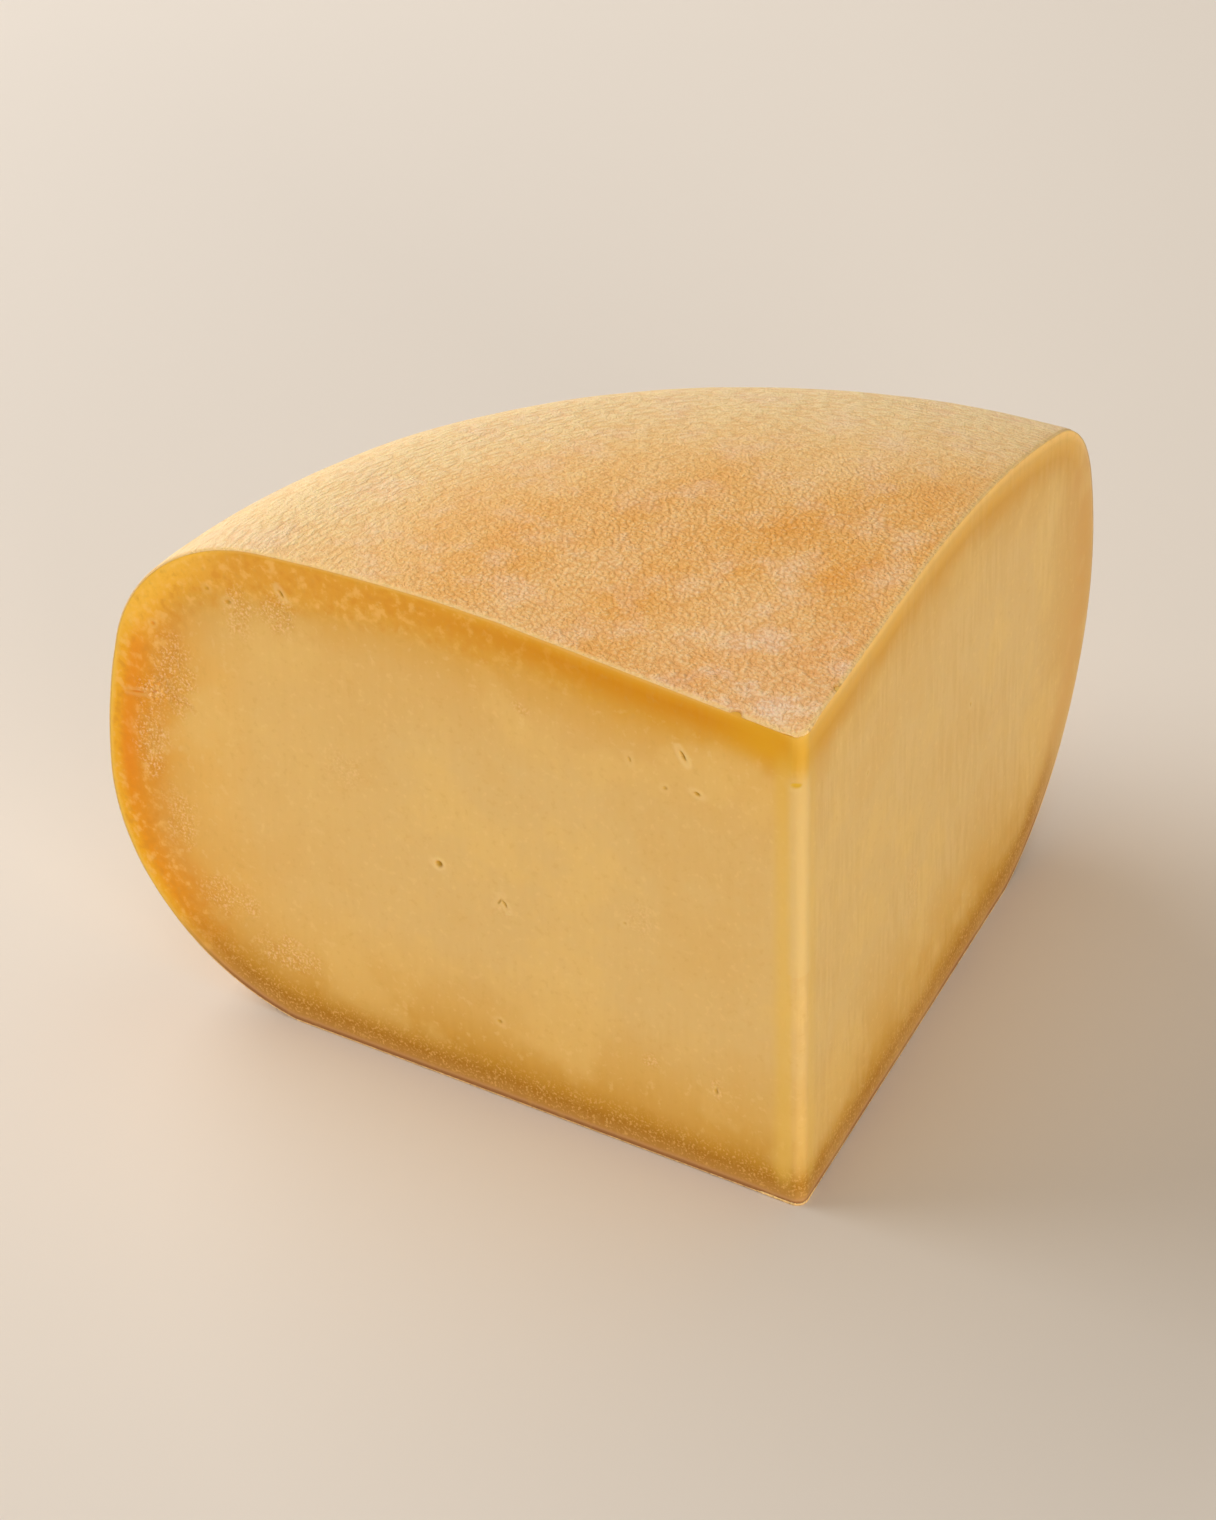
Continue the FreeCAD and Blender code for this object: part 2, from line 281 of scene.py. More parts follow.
# %% Axis and tip
WEDGE_ANGLE = 82.6
HALF_ANGLE = math.radians(WEDGE_ANGLE) / 2
TIP_RADIUS = 2.5 * MM
TIP_CENTRE = TIP_RADIUS / math.sin(HALF_ANGLE)
TIP_FADE = 6 * MM
axis = Vector((
    low.x + LEFT_CUT["belly_reach"] * MM * math.sin(HALF_ANGLE),
    low.y - (TIP_CENTRE - TIP_RADIUS),
    0,
))
print("the wheel's axis stands at", [round(x / MM, 2) for x in axis], "mm")


def tip_gap(angle):
    """Distance from the axis to the rounded edge, at an angle from the middle."""
    across = TIP_CENTRE * angle.math("SINE", angle)
    left_over = TIP_RADIUS ** 2 - across * across
    inside = left_over.math("MAXIMUM", left_over, 0.0)
    return TIP_CENTRE * angle.math("COSINE", angle) - inside ** 0.5


# %% [markdown]
# A grid becomes a piece of wheel. Its rows are the section's points and its
# columns are steps round the axis. For every grid point the tree reads the
# same numbered point on the left and the right section, mixes the two by how
# far round the column lies, and turns the result about the axis. Distance near
# the axis is pushed out to the rounded tip, and the push dies away within a
# few millimetres.

# %% Node group: fan a section round the axis
def sections_in(recipe, given):
    """The left and right sections as geometry, and how many points each has."""
    left = recipe.add("GeometryNodeObjectInfo", {"Object": given["Left Section"]}, "Geometry")
    right = recipe.add("GeometryNodeObjectInfo", {"Object": given["Right Section"]}, "Geometry")
    rows = recipe.add("GeometryNodeAttributeDomainSize", {"Geometry": left}, "Point Count")
    return left, right, rows


def unit_grid(recipe, rows, columns):
    """A grid from 0 to 1 both ways: the mesh, and the share along each side."""
    mesh = recipe.add("GeometryNodeMeshGrid", {
        "Size X": 1.0, "Size Y": 1.0, "Vertices X": rows, "Vertices Y": columns,
    })
    place = recipe.add("GeometryNodeInputPosition")
    x, y, _ = recipe.split(place)
    return mesh, x + 0.5, y + 0.5


def section_point(recipe, geometry, row):
    """Distance from the axis and height of a numbered section point."""
    place = recipe.add("GeometryNodeInputPosition")
    point = recipe.add("GeometryNodeSampleIndex", {
        "Geometry": geometry, "Value": place, "Index": row,
    }, data_type="FLOAT_VECTOR", domain="POINT")
    out, _, height = recipe.split(point)
    return out, height


def numbered(down, rows):
    """The number of a grid row's section point."""
    row = down * (rows - 1)
    return row.math("ROUND", row)


def between(share, first, second):
    return first + (second - first) * share


def turned(recipe, out, height, angle):
    """The place that far out from the axis, at that height and angle."""
    x = out * angle.math("SINE", angle) + axis.x
    y = out * angle.math("COSINE", angle) + axis.y
    return recipe.add("ShaderNodeCombineXYZ", {"X": x, "Y": y, "Z": height})


def crowded(share, amount):
    """Shares from 0 to 1 that lie closer together near both ends."""
    phase = share * (2 * math.pi)
    wave = phase.math("SINE", phase)
    return share - wave * (amount / (2 * math.pi))


def pushed_out(out, angle):
    """Distance from the axis, kept outside the rounded tip."""
    fallen = out * (-1 / TIP_FADE)
    fade = fallen.math("EXPONENT", fallen)
    return out + tip_gap(angle) * fade


# %% [markdown]
# The rind is that fan with life in it. A cheese is turned by hand every few
# days, so its skin has shallow sags, finger-sized dents and, near the rim,
# creases that run round the wheel. Each is a noise that moves the points along
# their normals, with its own height as a named input. At both cuts the knife
# has pressed the rind's edge down a little, which rounds it over. The attribute
# skin holds where a point lies on the wheel: round it, up it and out from it.
# Round it is in metres, at a fixed radius.

# %% Node group: rind
ROUND_RADIUS = 150 * MM
CROWDED_REACH = 12 * MM
CROWDED_GAP = 0.13 * MM
CALM_REACH = 16 * MM
LIP_WIDTH = 1.1 * MM


def offset_by(recipe, geometry, amount):
    """Moves every point along its normal."""
    normal = recipe.add("GeometryNodeInputNormal")
    step = recipe.scaled(normal, amount)
    return recipe.add("GeometryNodeSetPosition", {"Geometry": geometry, "Offset": step})


def soft_noise(recipe, place, period, seed, detail=1.0, out="Fac"):
    """Noise about zero, from about -0.5 to 0.5, with that period in metres."""
    shifted = recipe.vector("ADD", place, (seed, seed * 0.7, seed * 1.3))
    made = recipe.add("ShaderNodeTexNoise", {
        "Vector": shifted, "Scale": 1 / period, "Detail": detail, "Roughness": 0.5,
    }, out)
    return made - 0.5


def store(recipe, geometry, name, value, kind="FLOAT"):
    return recipe.add("GeometryNodeStoreNamedAttribute", {
        "Geometry": geometry, "Name": name, "Value": value,
    }, data_type=kind, domain="POINT")


def start_group(name, inputs):
    """A new Geometry Nodes tree with these inputs, and the Values they give."""
    tree = bpy.data.node_groups.new(name, "GeometryNodeTree")
    for label, kind, value in inputs:
        socket = tree.interface.new_socket(name=label, in_out="INPUT", socket_type=kind)
        if value is not None:
            socket.default_value = value
    tree.interface.new_socket(name="Geometry", in_out="OUTPUT", socket_type="NodeSocketGeometry")
    entry = tree.nodes.new("NodeGroupInput")
    given = {label: Value(entry.outputs[label]) for label, _, _ in inputs}
    return Recipe(tree), given


def finish_group(recipe, geometry, material):
    """Ends a tree: instances made real, then the material."""
    real = recipe.add("GeometryNodeRealizeInstances", {"Geometry": geometry})
    shown = recipe.add("GeometryNodeSetMaterial", {"Geometry": real, "Material": material})
    ending = recipe.tree.nodes.new("NodeGroupOutput")
    feed(recipe.tree, shown, ending.inputs[0])
    return recipe.tree


def rind_group():
    recipe, given = start_group("rind_skin", [
        ("Left Section", "NodeSocketObject", None),
        ("Right Section", "NodeSocketObject", None),
        ("Columns", "NodeSocketInt", 150),
        ("Sag Height", "NodeSocketFloat", 0.0),
        ("Dent Height", "NodeSocketFloat", 0.0),
        ("Crease Height", "NodeSocketFloat", 0.0),
        ("Lip Height", "NodeSocketFloat", 0.0),
        ("Material", "NodeSocketMaterial", None),
    ])
    left, right, rows = sections_in(recipe, given)
    mesh, down, round_share = unit_grid(recipe, rows, given["Columns"])
    column = crowded(round_share, 0.4)
    angle = (0.5 - column) * (2 * HALF_ANGLE)
    row = numbered(down, rows)
    left_out, left_up = section_point(recipe, left, row)
    right_out, right_up = section_point(recipe, right, row)
    out = between(column, right_out, left_out)
    height = between(column, right_up, left_up)
    place = turned(recipe, pushed_out(out, angle), height, angle)
    mesh = store(recipe, mesh, "skin", recipe.add("ShaderNodeCombineXYZ", {
        "X": angle * ROUND_RADIUS, "Y": height, "Z": out,
    }), "FLOAT_VECTOR")
    to_cut = HALF_ANGLE - angle.math("ABSOLUTE", angle)
    mesh = store(recipe, mesh, "to_cut", to_cut * out)
    mesh = recipe.add("GeometryNodeSetPosition", {"Geometry": mesh, "Position": place})
    skin = recipe.add("GeometryNodeInputNamedAttribute", {"Name": "skin"}, data_type="FLOAT_VECTOR")
    from_axis = recipe.split(skin)[2]
    # The columns crowd together at the tip, so points that nearly touch become one.
    mesh = recipe.add("GeometryNodeMergeByDistance", {
        "Geometry": mesh, "Selection": from_axis.math("LESS_THAN", from_axis, CROWDED_REACH),
        "Distance": CROWDED_GAP,
    })

    here = recipe.add("GeometryNodeInputPosition")
    off_floor = recipe.split(here)[2].ease(0.5 * MM, 12 * MM)
    sags = soft_noise(recipe, here, 60 * MM, 3.1) * given["Sag Height"]
    dents = soft_noise(recipe, here, 17 * MM, 7.7, 2.0) * given["Dent Height"]
    squeezed = recipe.vector("MULTIPLY", skin, (0.35, 1.0, 1.0))
    creases = soft_noise(recipe, squeezed, 5 * MM, 1.9, 2.0) * given["Crease Height"]
    outer = from_axis.ease(60 * MM, 130 * MM)
    # The thin faces at the tip would fold, so every noise dies away towards it.
    calm_tip = from_axis.ease(1 * MM, CALM_REACH)
    mesh = offset_by(recipe, mesh, (sags + dents + creases * outer) * off_floor * calm_tip)
    near_cut = recipe.add("GeometryNodeInputNamedAttribute", {"Name": "to_cut"}, data_type="FLOAT")
    edge = 1 - near_cut.ease(0.0, LIP_WIDTH)
    mesh = offset_by(recipe, mesh, edge * calm_tip * given["Lip Height"] * -1.0)
    return finish_group(recipe, mesh, given["Material"])


# %% [markdown]
# A modifier's inputs are set by their identifier, not by the name that shows
# in the panel, and before the object is first evaluated. new_from_object then
# turns the result into a plain mesh, and the modifier isn't needed any more.

# %% Run a group
def run_group(name, tree, values, finish=None):
    """A plain mesh object made by a Geometry Nodes tree."""
    holder = new_object(name, bpy.data.meshes.new(name))
    modifier = holder.modifiers.new("nodes", "NODES")
    modifier.node_group = tree
    for socket in tree.interface.items_tree:
        if socket.in_out == "INPUT" and socket.name in values:
            modifier[socket.identifier] = values[socket.name]
    if finish:
        finish(holder)
    holder.update_tag()
    graph = bpy.context.evaluated_depsgraph_get()
    mesh = bpy.data.meshes.new_from_object(
        holder.evaluated_get(graph), preserve_all_data_layers=True, depsgraph=graph
    )
    holder.modifiers.clear()
    holder.data = mesh
    mesh.name = name
    return holder


def tidy_mesh(piece, merge):
    """Merges doubles, points all faces outwards, and says what the mesh holds."""
    work = bmesh.new()
    work.from_mesh(piece.data)
    bmesh.ops.remove_doubles(work, verts=work.verts, dist=merge)
    bmesh.ops.dissolve_degenerate(work, edges=work.edges, dist=merge / 2)
    bmesh.ops.recalc_face_normals(work, faces=work.faces)
    open_edges = sum(not edge.is_manifold for edge in work.edges)
    volume = work.calc_volume(signed=True)
    work.to_mesh(piece.data)
    work.free()
    triangles = sum(len(face.vertices) - 2 for face in piece.data.polygons)
    print(piece.name, triangles, "triangles,", open_edges, "open edges,",
          round(volume * 1e6, 1), "cm3")


# %% [markdown]
# The rind: a sheet of the group's making, given its thickness by Solidify. The
# shell grows inwards, so the outside keeps the wheel's size. The edge that the
# knife has cut gets the second material.

# %% Make the rind
RIND_THICKNESS = 0.6
rind_steps = (62, 58, 48, 32, 62, 30)
left_skin = section_object("left_skin_line", LEFT_CUT, 0.0, rind_steps)
right_skin = section_object("right_skin_line", RIGHT_CUT, 0.0, rind_steps)
rind_look = bpy.data.materials.new("dry_rind")
rind_edge_look = bpy.data.materials.new("cut_rind_edge")
paste_look = bpy.data.materials.new("ripe_paste")


def thicken(holder):
    shell = holder.modifiers.new("thickness", "SOLIDIFY")
    shell.thickness = RIND_THICKNESS * MM
    shell.offset = -1.0
    shell.material_offset_rim = 1


rind_tree = rind_group()
rind_sizes = {
    "Left Section": left_skin, "Right Section": right_skin, "Columns": 150,
    "Sag Height": 1.0 * MM, "Dent Height": 0.35 * MM, "Crease Height": 0.16 * MM,
    "Lip Height": 0.2 * MM, "Material": rind_look,
}
outside = run_group("outside", rind_tree, rind_sizes)
rind = run_group("rind", rind_tree, rind_sizes, thicken)
rind.data.materials.clear()
rind.data.materials.append(rind_look)
rind.data.materials.append(rind_edge_look)
tidy_mesh(rind, 0.004 * MM)

# %% [markdown]
# The paste fills the rind. It is one closed body of four grids that share
# their edges: the surface under the rind, the two cut faces and the rounded
# tip. On a cut face every row runs from the upright edge out to the section's
# outline, and its points crowd towards the rind, where the colours change
# fastest. The distance to the rind and the way to it are stored on the points
# for the material.

# %% Node group: paste
def paste_group():
    recipe, given = start_group("paste_body", [
        ("Left Section", "NodeSocketObject", None),
        ("Right Section", "NodeSocketObject", None),
        ("Outside", "NodeSocketObject", None),
        ("Rind Columns", "NodeSocketInt", 16),
        ("Face Columns", "NodeSocketInt", 128),
        ("Knife Wave Height", "NodeSocketFloat", 0.0),
        ("Material", "NodeSocketMaterial", None),
    ])
    left, right, rows = sections_in(recipe, given)

    # Under the rind.
    mesh, down, round_share = unit_grid(recipe, rows, given["Rind Columns"])
    angle = (0.5 - round_share) * (2 * HALF_ANGLE)
    left_out, left_up = section_point(recipe, left, numbered(down, rows))
    right_out, right_up = section_point(recipe, right, numbered(down, rows))
    out = between(round_share, right_out, left_out)
    height = between(round_share, right_up, left_up)
    place = turned(recipe, pushed_out(out, angle), height, angle)
    parts = [recipe.add("GeometryNodeSetPosition", {"Geometry": mesh, "Position": place})]

    # The rounded tip, from the top of the edge to its foot.
    mesh, down, round_share = unit_grid(recipe, rows, given["Rind Columns"])
    angle = (0.5 - round_share) * (2 * HALF_ANGLE)
    top = between(round_share, section_point(recipe, right, numbered(down, rows) * 0.0)[1],
                  section_point(recipe, left, numbered(down, rows) * 0.0)[1])
    bottom = section_point(recipe, left, rows - 1)[1]
    place = turned(recipe, tip_gap(angle), between(down, top, bottom), angle)
    parts.append(recipe.add("GeometryNodeSetPosition", {"Geometry": mesh, "Position": place}))

    # The two cut faces.
    for side, line in ((1.0, right), (-1.0, left)):
        mesh, down, across = unit_grid(recipe, rows, given["Face Columns"])
        share = 1 - (1 - across) ** 1.35
        out, up = section_point(recipe, line, numbered(down, rows))
        angle = down * 0.0 + side * HALF_ANGLE
        outline = pushed_out(out, angle)
        top = section_point(recipe, line, numbered(down, rows) * 0.0)[1]
        edge_up = between(down, top, section_point(recipe, line, rows - 1)[1])
        place = turned(recipe, between(share, tip_gap(angle), outline),
                       between(share, edge_up, up), angle)
        parts.append(recipe.add("GeometryNodeSetPosition", {"Geometry": mesh, "Position": place}))

    joined = recipe.tree.nodes.new("GeometryNodeJoinGeometry")
    for part in parts:
        feed(recipe.tree, part, joined.inputs[0])
    whole = recipe.add("GeometryNodeMergeByDistance", {
        "Geometry": Value(joined.outputs[0]), "Distance": 0.01 * MM,
    })

    # How deep each point lies below the rind's outside, and which way that is.
    outside_mesh = recipe.add("GeometryNodeObjectInfo", {"Object": given["Outside"]}, "Geometry")
    near = recipe.tree.nodes.new("GeometryNodeProximity")
    near.target_element = "FACES"
    feed(recipe.tree, outside_mesh, near.inputs[0])
    here = recipe.add("GeometryNodeInputPosition")
    way = recipe.vector("SUBTRACT", Value(near.outputs["Position"]), here)
    way = recipe.add("ShaderNodeVectorMath", {0: way}, operation="NORMALIZE")
    whole = store(recipe, whole, "depth", Value(near.outputs["Distance"]) * (1 / MM))
    whole = store(recipe, whole, "toward_rind", way, "FLOAT_VECTOR")

    # The knife's slow sway, as shallow waves that die away at the rind.
    swayed = recipe.vector("MULTIPLY", here, (1.0, 1.0, 0.25))
    waves = soft_noise(recipe, swayed, 9 * MM, 5.3, 1.0) * given["Knife Wave Height"]
    fade = Value(near.outputs["Distance"]).ease(0.5 * MM, 6 * MM)
    whole = offset_by(recipe, whole, waves * fade)
    return finish_group(recipe, whole, given["Material"])


# %% [markdown]
# The paste reaches a little way into the rind, so that no gap can open between
# them. The helper lines have then done their work.

# %% Make the paste
RIND_OVERLAP = 0.15
paste_steps = (56, 50, 42, 30, 54, 44)
paste_inset = RIND_THICKNESS - RIND_OVERLAP
left_paste = section_object("left_paste_line", LEFT_CUT, paste_inset, paste_steps)
right_paste = section_object("right_paste_line", RIGHT_CUT, paste_inset, paste_steps)
paste = run_group("paste", paste_group(), {
    "Left Section": left_paste, "Right Section": right_paste, "Outside": outside,
    "Rind Columns": 16, "Face Columns": 112, "Knife Wave Height": 0.12 * MM,
    "Material": paste_look,
})
tidy_mesh(paste, 0.01 * MM)
for helper in (left_skin, right_skin, left_paste, right_paste, outside):
    bpy.data.objects.remove(helper)

# %% [markdown]
# The knife leaves marks, and gas has made a few eyes: small round ones and
# narrow slits where the paste has pulled apart. They are few and tiny in a
# gouda, so each has its own row in a short table. A hollow of two millimetres
# needs points a quarter of a millimetre apart, so the mesh is first cut finer
# round every mark, and then each point near a mark is pressed.

# %% Frames of the cuts
def cut_frame(name):
    """The way outwards along a cut, and the way out of its face."""
    side = {"left": -1, "right": 1}[name]
    along = Vector((side * math.sin(HALF_ANGLE), math.cos(HALF_ANGLE), 0))
    return along, Vector((side * math.cos(HALF_ANGLE), -math.sin(HALF_ANGLE), 0))


def mark(name, out, height, reach, spacing, **shape):
    """A place on a cut, how far it reaches, and how fine the mesh must be."""
    along, outward = cut_frame(name)
    centre = axis + along * (out * MM) + Vector((0, 0, height * MM))
    return {"centre": centre, "along": along, "outward": outward,
            "reach": reach * MM, "spacing": spacing * MM, **shape}


def finder(marks):
    """A function that gives the marks whose reach holds a place."""
    tree = kdtree.KDTree(len(marks))
    for number, item in enumerate(marks):
        tree.insert(item["centre"], number)
    tree.balance()
    widest = max(item["reach"] for item in marks)

    def find(place):
        found = tree.find_range(place, widest)
        return [marks[n] for _, n, away in found if away < marks[n]["reach"]]
    return find


def carve(piece, marks, names, press):
    """Cuts a mesh finer round its marks, and lets press move the points."""
    work = bmesh.new()
    work.from_mesh(piece.data)
    for name in names:
        work.verts.layers.float.new(name)
    find = finder(marks)
    for _ in range(4):
        wanted = {}
        for vertex in work.verts:
            near = find(vertex.co)
            if near:
                wanted[vertex] = min(item["spacing"] for item in near)
        edges = [e for e in work.edges if e.verts[0] in wanted and e.verts[1] in wanted]
        edges = [e for e in edges if e.calc_length() > max(wanted[v] for v in e.verts)]
        if not edges:
            break
        bmesh.ops.subdivide_edges(work, edges=edges, cuts=1, use_grid_fill=True)
    layers = [work.verts.layers.float[name] for name in names]
    for vertex in work.verts:
        start = vertex.co.copy()
        for item in find(start):
            press(vertex, start, item, *layers)
    work.to_mesh(piece.data)
    work.free()
    print(piece.name, "has", len(piece.data.vertices), "points after", len(marks), "marks")


# %% [markdown]
# Where the old paste at the rim is short and dry, it crumbles under the knife
# rather than parting cleanly. Those patches are rough in the mesh itself: the
# points move in and out by a noise, and the amount dies away at the edge.

# %% Torn patches
# Cut, distance from the axis, height, half width, half height, roughness in mm.
TORN = [
    ("left", 149.5, 81.0, 5.0, 11.0, 0.40), ("left", 156.5, 62.0, 4.2, 10.0, 0.36),
    ("left", 153.5, 75.5, 6.0, 3.6, 0.45), ("left", 123.0, 106.0, 4.6, 5.2, 0.34),
    ("left", 132.5, 103.0, 3.6, 7.5, 0.24), ("left", 139.0, 27.5, 7.5, 5.0, 0.24),
    ("left", 124.5, 17.5, 8.0, 4.5, 0.24), ("left", 150.0, 44.0, 4.0, 8.0, 0.22),
    ("left", 108.0, 72.0, 5.0, 5.5, 0.10), ("left", 65.5, 103.4, 2.2, 1.6, 0.20),
    ("left", 36.1, 24.3, 2.0, 2.6, 0.18), ("left", 20.2, 23.7, 1.6, 2.8, 0.16),
    ("left", 38.0, 60.2, 4.2, 4.4, 0.10), ("left", 70.9, 50.0, 2.4, 3.0, 0.10),
    ("right", 60.0, 40.0, 4.0, 9.0, 0.08),
]


def tear(vertex, start, patch, torn):
    apart = (start - patch["centre"]) / MM
    span = math.hypot(apart.dot(patch["along"]) / patch["wide"], apart.z / patch["high"])
    ragged = noise.noise(start / (2.6 * MM))
    share = max(0.0, min(1.0, (1.15 - span + 0.5 * ragged) / 0.6))
    crumb = noise.noise(start / (0.9 * MM)) + 0.6 * noise.noise(start / (0.45 * MM))
    vertex.co += patch["outward"] * (share * patch["rough"] * (crumb - 0.25) * MM)
    vertex[torn] = max(vertex[torn], share * min(1.0, patch["rough"] / 0.3))


patches = [
    mark(cut, out, height, 1.5 * max(wide, high), 0.7, wide=wide, high=high, rough=rough)
    for cut, out, height, wide, high, rough in TORN
]
carve(paste, patches, ["torn"], tear)

# %% [markdown]
# Each eye is a bowl: deepest in the middle, with a low raised rim where the
# paste was pressed aside. The mesh remembers both for the material. The eye
# on the upright edge sits on the rounding, so it faces its own way.

# %% Eyes
# Cut, distance from the axis, height, half length, half width, depth, lean. The
# lean is in degrees, upwards from the way that leads outwards along the cut.
EYES = [
    ("left", 86.0, 56.1, 0.95, 0.90, 0.60, 0), ("left", 27.5, 105.3, 1.35, 0.45, 0.50, 60),
    ("left", 24.3, 97.1, 0.80, 0.45, 0.40, 15), ("left", 70.3, 51.8, 1.2, 0.34, 0.35, 60),
    ("left", 71.5, 52.0, 1.1, 0.32, 0.25, 118), ("left", 121.9, 111.3, 0.95, 0.40, 0.45, 58),
    ("left", 31.7, 95.8, 0.60, 0.48, 0.22, 160), ("left", 39.9, 99.9, 0.75, 0.35, 0.20, 70),
    ("left", 72.3, 20.3, 0.60, 0.45, 0.25, 0), ("left", 159.4, 73.3, 1.9, 0.22, 0.22, 168),
    ("left", 155.0, 74.8, 1.2, 0.22, 0.20, 140), ("left", 135.1, 104.6, 0.8, 0.6, 0.25, 160),
    ("left", 140.2, 106.3, 0.5, 0.45, 0.20, 0), ("left", 154.3, 92.6, 0.5, 0.5, 0.20, 0),
    ("left", 20.4, 22.6, 0.5, 0.8, 0.22, 0), ("left", 41.5, 58.0, 0.4, 0.4, 0.18, 0),
    ("right", 34.0, 88.0, 0.5, 0.35, 0.2, 60), ("right", 92.0, 66.0, 0.5, 0.4, 0.2, 100),
]


def bowl(vertex, start, eye, hollow, ring):
    apart = (start - eye["centre"]) / MM
    turn = math.radians(eye["lean"])
    sideways = apart.dot(eye["along"])
    longways = sideways * math.cos(turn) + apart.z * math.sin(turn)
    crossways = apart.z * math.cos(turn) - sideways * math.sin(turn)
    span = math.hypot(longways / eye["long"], crossways / eye["wide"])
    inside = max(0.0, 1 - span ** 2)
    beyond = max(0.0, span - 1) * eye["wide"]
    rim = math.exp(-((beyond - 0.4) / 0.5) ** 2) * (1 - inside) * min(eye["rim"], 2 * eye["deep"])
    vertex.co += eye["outward"] * ((0.08 * rim - eye["deep"] * inside) * MM)
    vertex[hollow] = max(vertex[hollow], min(1.0, 1.6 * inside) * min(1.0, eye["deep"] / 0.4))
    vertex[ring] = max(vertex[ring], rim)


eyes = [
    mark(cut, out, height, length + 1.7, 0.26, long=length, wide=width, deep=depth, lean=lean, rim=1)
    for cut, out, height, length, width, depth, lean in EYES
]
tip_eye = mark("left", 0, 107.3, 2.8, 0.26, long=1.3, wide=0.7, deep=0.35, lean=175, rim=0.1)
facing = math.radians(-115)
tip_eye["outward"] = Vector((math.cos(facing), math.sin(facing), 0))
tip_eye["along"] = Vector((math.sin(facing), -math.cos(facing), 0))
tip_eye["centre"] += Vector((0, TIP_CENTRE, 0)) + tip_eye["outward"] * TIP_RADIUS
carve(paste, eyes + [tip_eye], ["hollow", "ring"], bowl)
tidy_mesh(paste, 0.005 * MM)

# %% [markdown]
# The rind has chipped in two places at its cut edge, close to the upright
# edge. A nick presses its points down and back from the cut.

# %% Nicks in the rind
def chip(vertex, start, nick, nicked):
    span = (start - nick["centre"]).length / nick["reach"]
    share = max(0.0, 1 - span ** 2)
    vertex.co -= (nick["outward"] * 0.5 + Vector((0, 0, 1))) * (nick["deep"] * share * MM)
    vertex[nicked] = share


carve(rind, [
    mark("left", 15.3, 119.8, 1.5, 0.3, deep=0.75),
    mark("right", 18.1, 120.1, 1.2, 0.3, deep=0.65),
], ["nick"], chip)
tidy_mesh(rind, 0.004 * MM)

# %% [markdown]
# Colours. Paint is mixed in the numbers of a colour picker, from 0 to 255, and
# Blender calculates in linear light, so each colour is converted once.

# %% Colour helpers
def shade(red, green, blue):
    """A colour picker's colour as Blender's linear one."""
    parts = [x / 255 for x in (red, green, blue)]
    linear = [x / 12.92 if x <= 0.04045 else ((x + 0.055) / 1.055) ** 2.4 for x in parts]
    return (*linear, 1.0)


def start_look(material):
    """An empty material tree with its Principled shader and mm coordinates."""
    material.use_nodes = True
    tree = material.node_tree
    tree.nodes.clear()
    recipe = Recipe(tree)
    shader = tree.nodes.new("ShaderNodeBsdfPrincipled")
    ending = tree.nodes.new("ShaderNodeOutputMaterial")
    tree.links.new(shader.outputs[0], ending.inputs[0])
    place = recipe.add("ShaderNodeTexCoord", out="Object")
    return recipe, shader, recipe.scaled(place, 1 / MM)


def soften(shader, weight, depth, specular):
    """How much light sinks into the cheese, how deep in metres, and the gloss."""
    shader.inputs["Subsurface Weight"].default_value = weight
    shader.inputs["Subsurface Scale"].default_value = depth
    shader.inputs["Subsurface Radius"].default_value = (1.0, 0.55, 0.2)
    shader.inputs["Specular IOR Level"].default_value = specular


def grain(recipe, place, period, detail=2.0, stretch=(1, 1, 1)):
    """Noise from about 0.3 to 0.7 with a period in millimetres."""
    if stretch != (1, 1, 1):
        place = recipe.vector("MULTIPLY", place, stretch)
    return recipe.add("ShaderNodeTexNoise", {
        "Vector": place, "Scale": 1 / period, "Detail": detail, "Roughness": 0.55,
    })


def cells(recipe, place, size):
    """Little domes, 1 in the middle and about 0.2 in the grooves between them."""
    bend = recipe.add("ShaderNodeTexNoise", {"Vector": place, "Scale": 0.6}, "Color")
    bent = recipe.vector("ADD", place, recipe.vector("SUBTRACT", bend, (0.5, 0.5, 0.5)))
    distance = recipe.add("ShaderNodeTexVoronoi", {"Vector": bent, "Scale": 1 / size}, "Distance")
    return 1 - distance


def stored(recipe, name, out="Fac"):
    return recipe.add("ShaderNodeAttribute", attribute_name=name, out=out)


# %% [markdown]
# The paste's colour depends on how deep it lies. Under the crown the paste has
# dried to an orange-brown band, at the rim it is a clearer orange, and at the
# foot it is darker and greener. So there is one ramp for each, and the way to
# the nearest rind says which one counts: up, sideways or down.

# %% Paste: bands under the rind
RAMP_DEPTH = 36.0
HEART = (222, 184, 115)


def band(recipe, depth, stops):
    """A ramp over the depth below the rind, in millimetres."""
    stops = stops + [(RAMP_DEPTH, HEART)]
    return recipe.add("ShaderNodeValToRGB", {0: depth / RAMP_DEPTH},
                      stops=[(mm / RAMP_DEPTH, shade(*paint)) for mm, paint in stops])


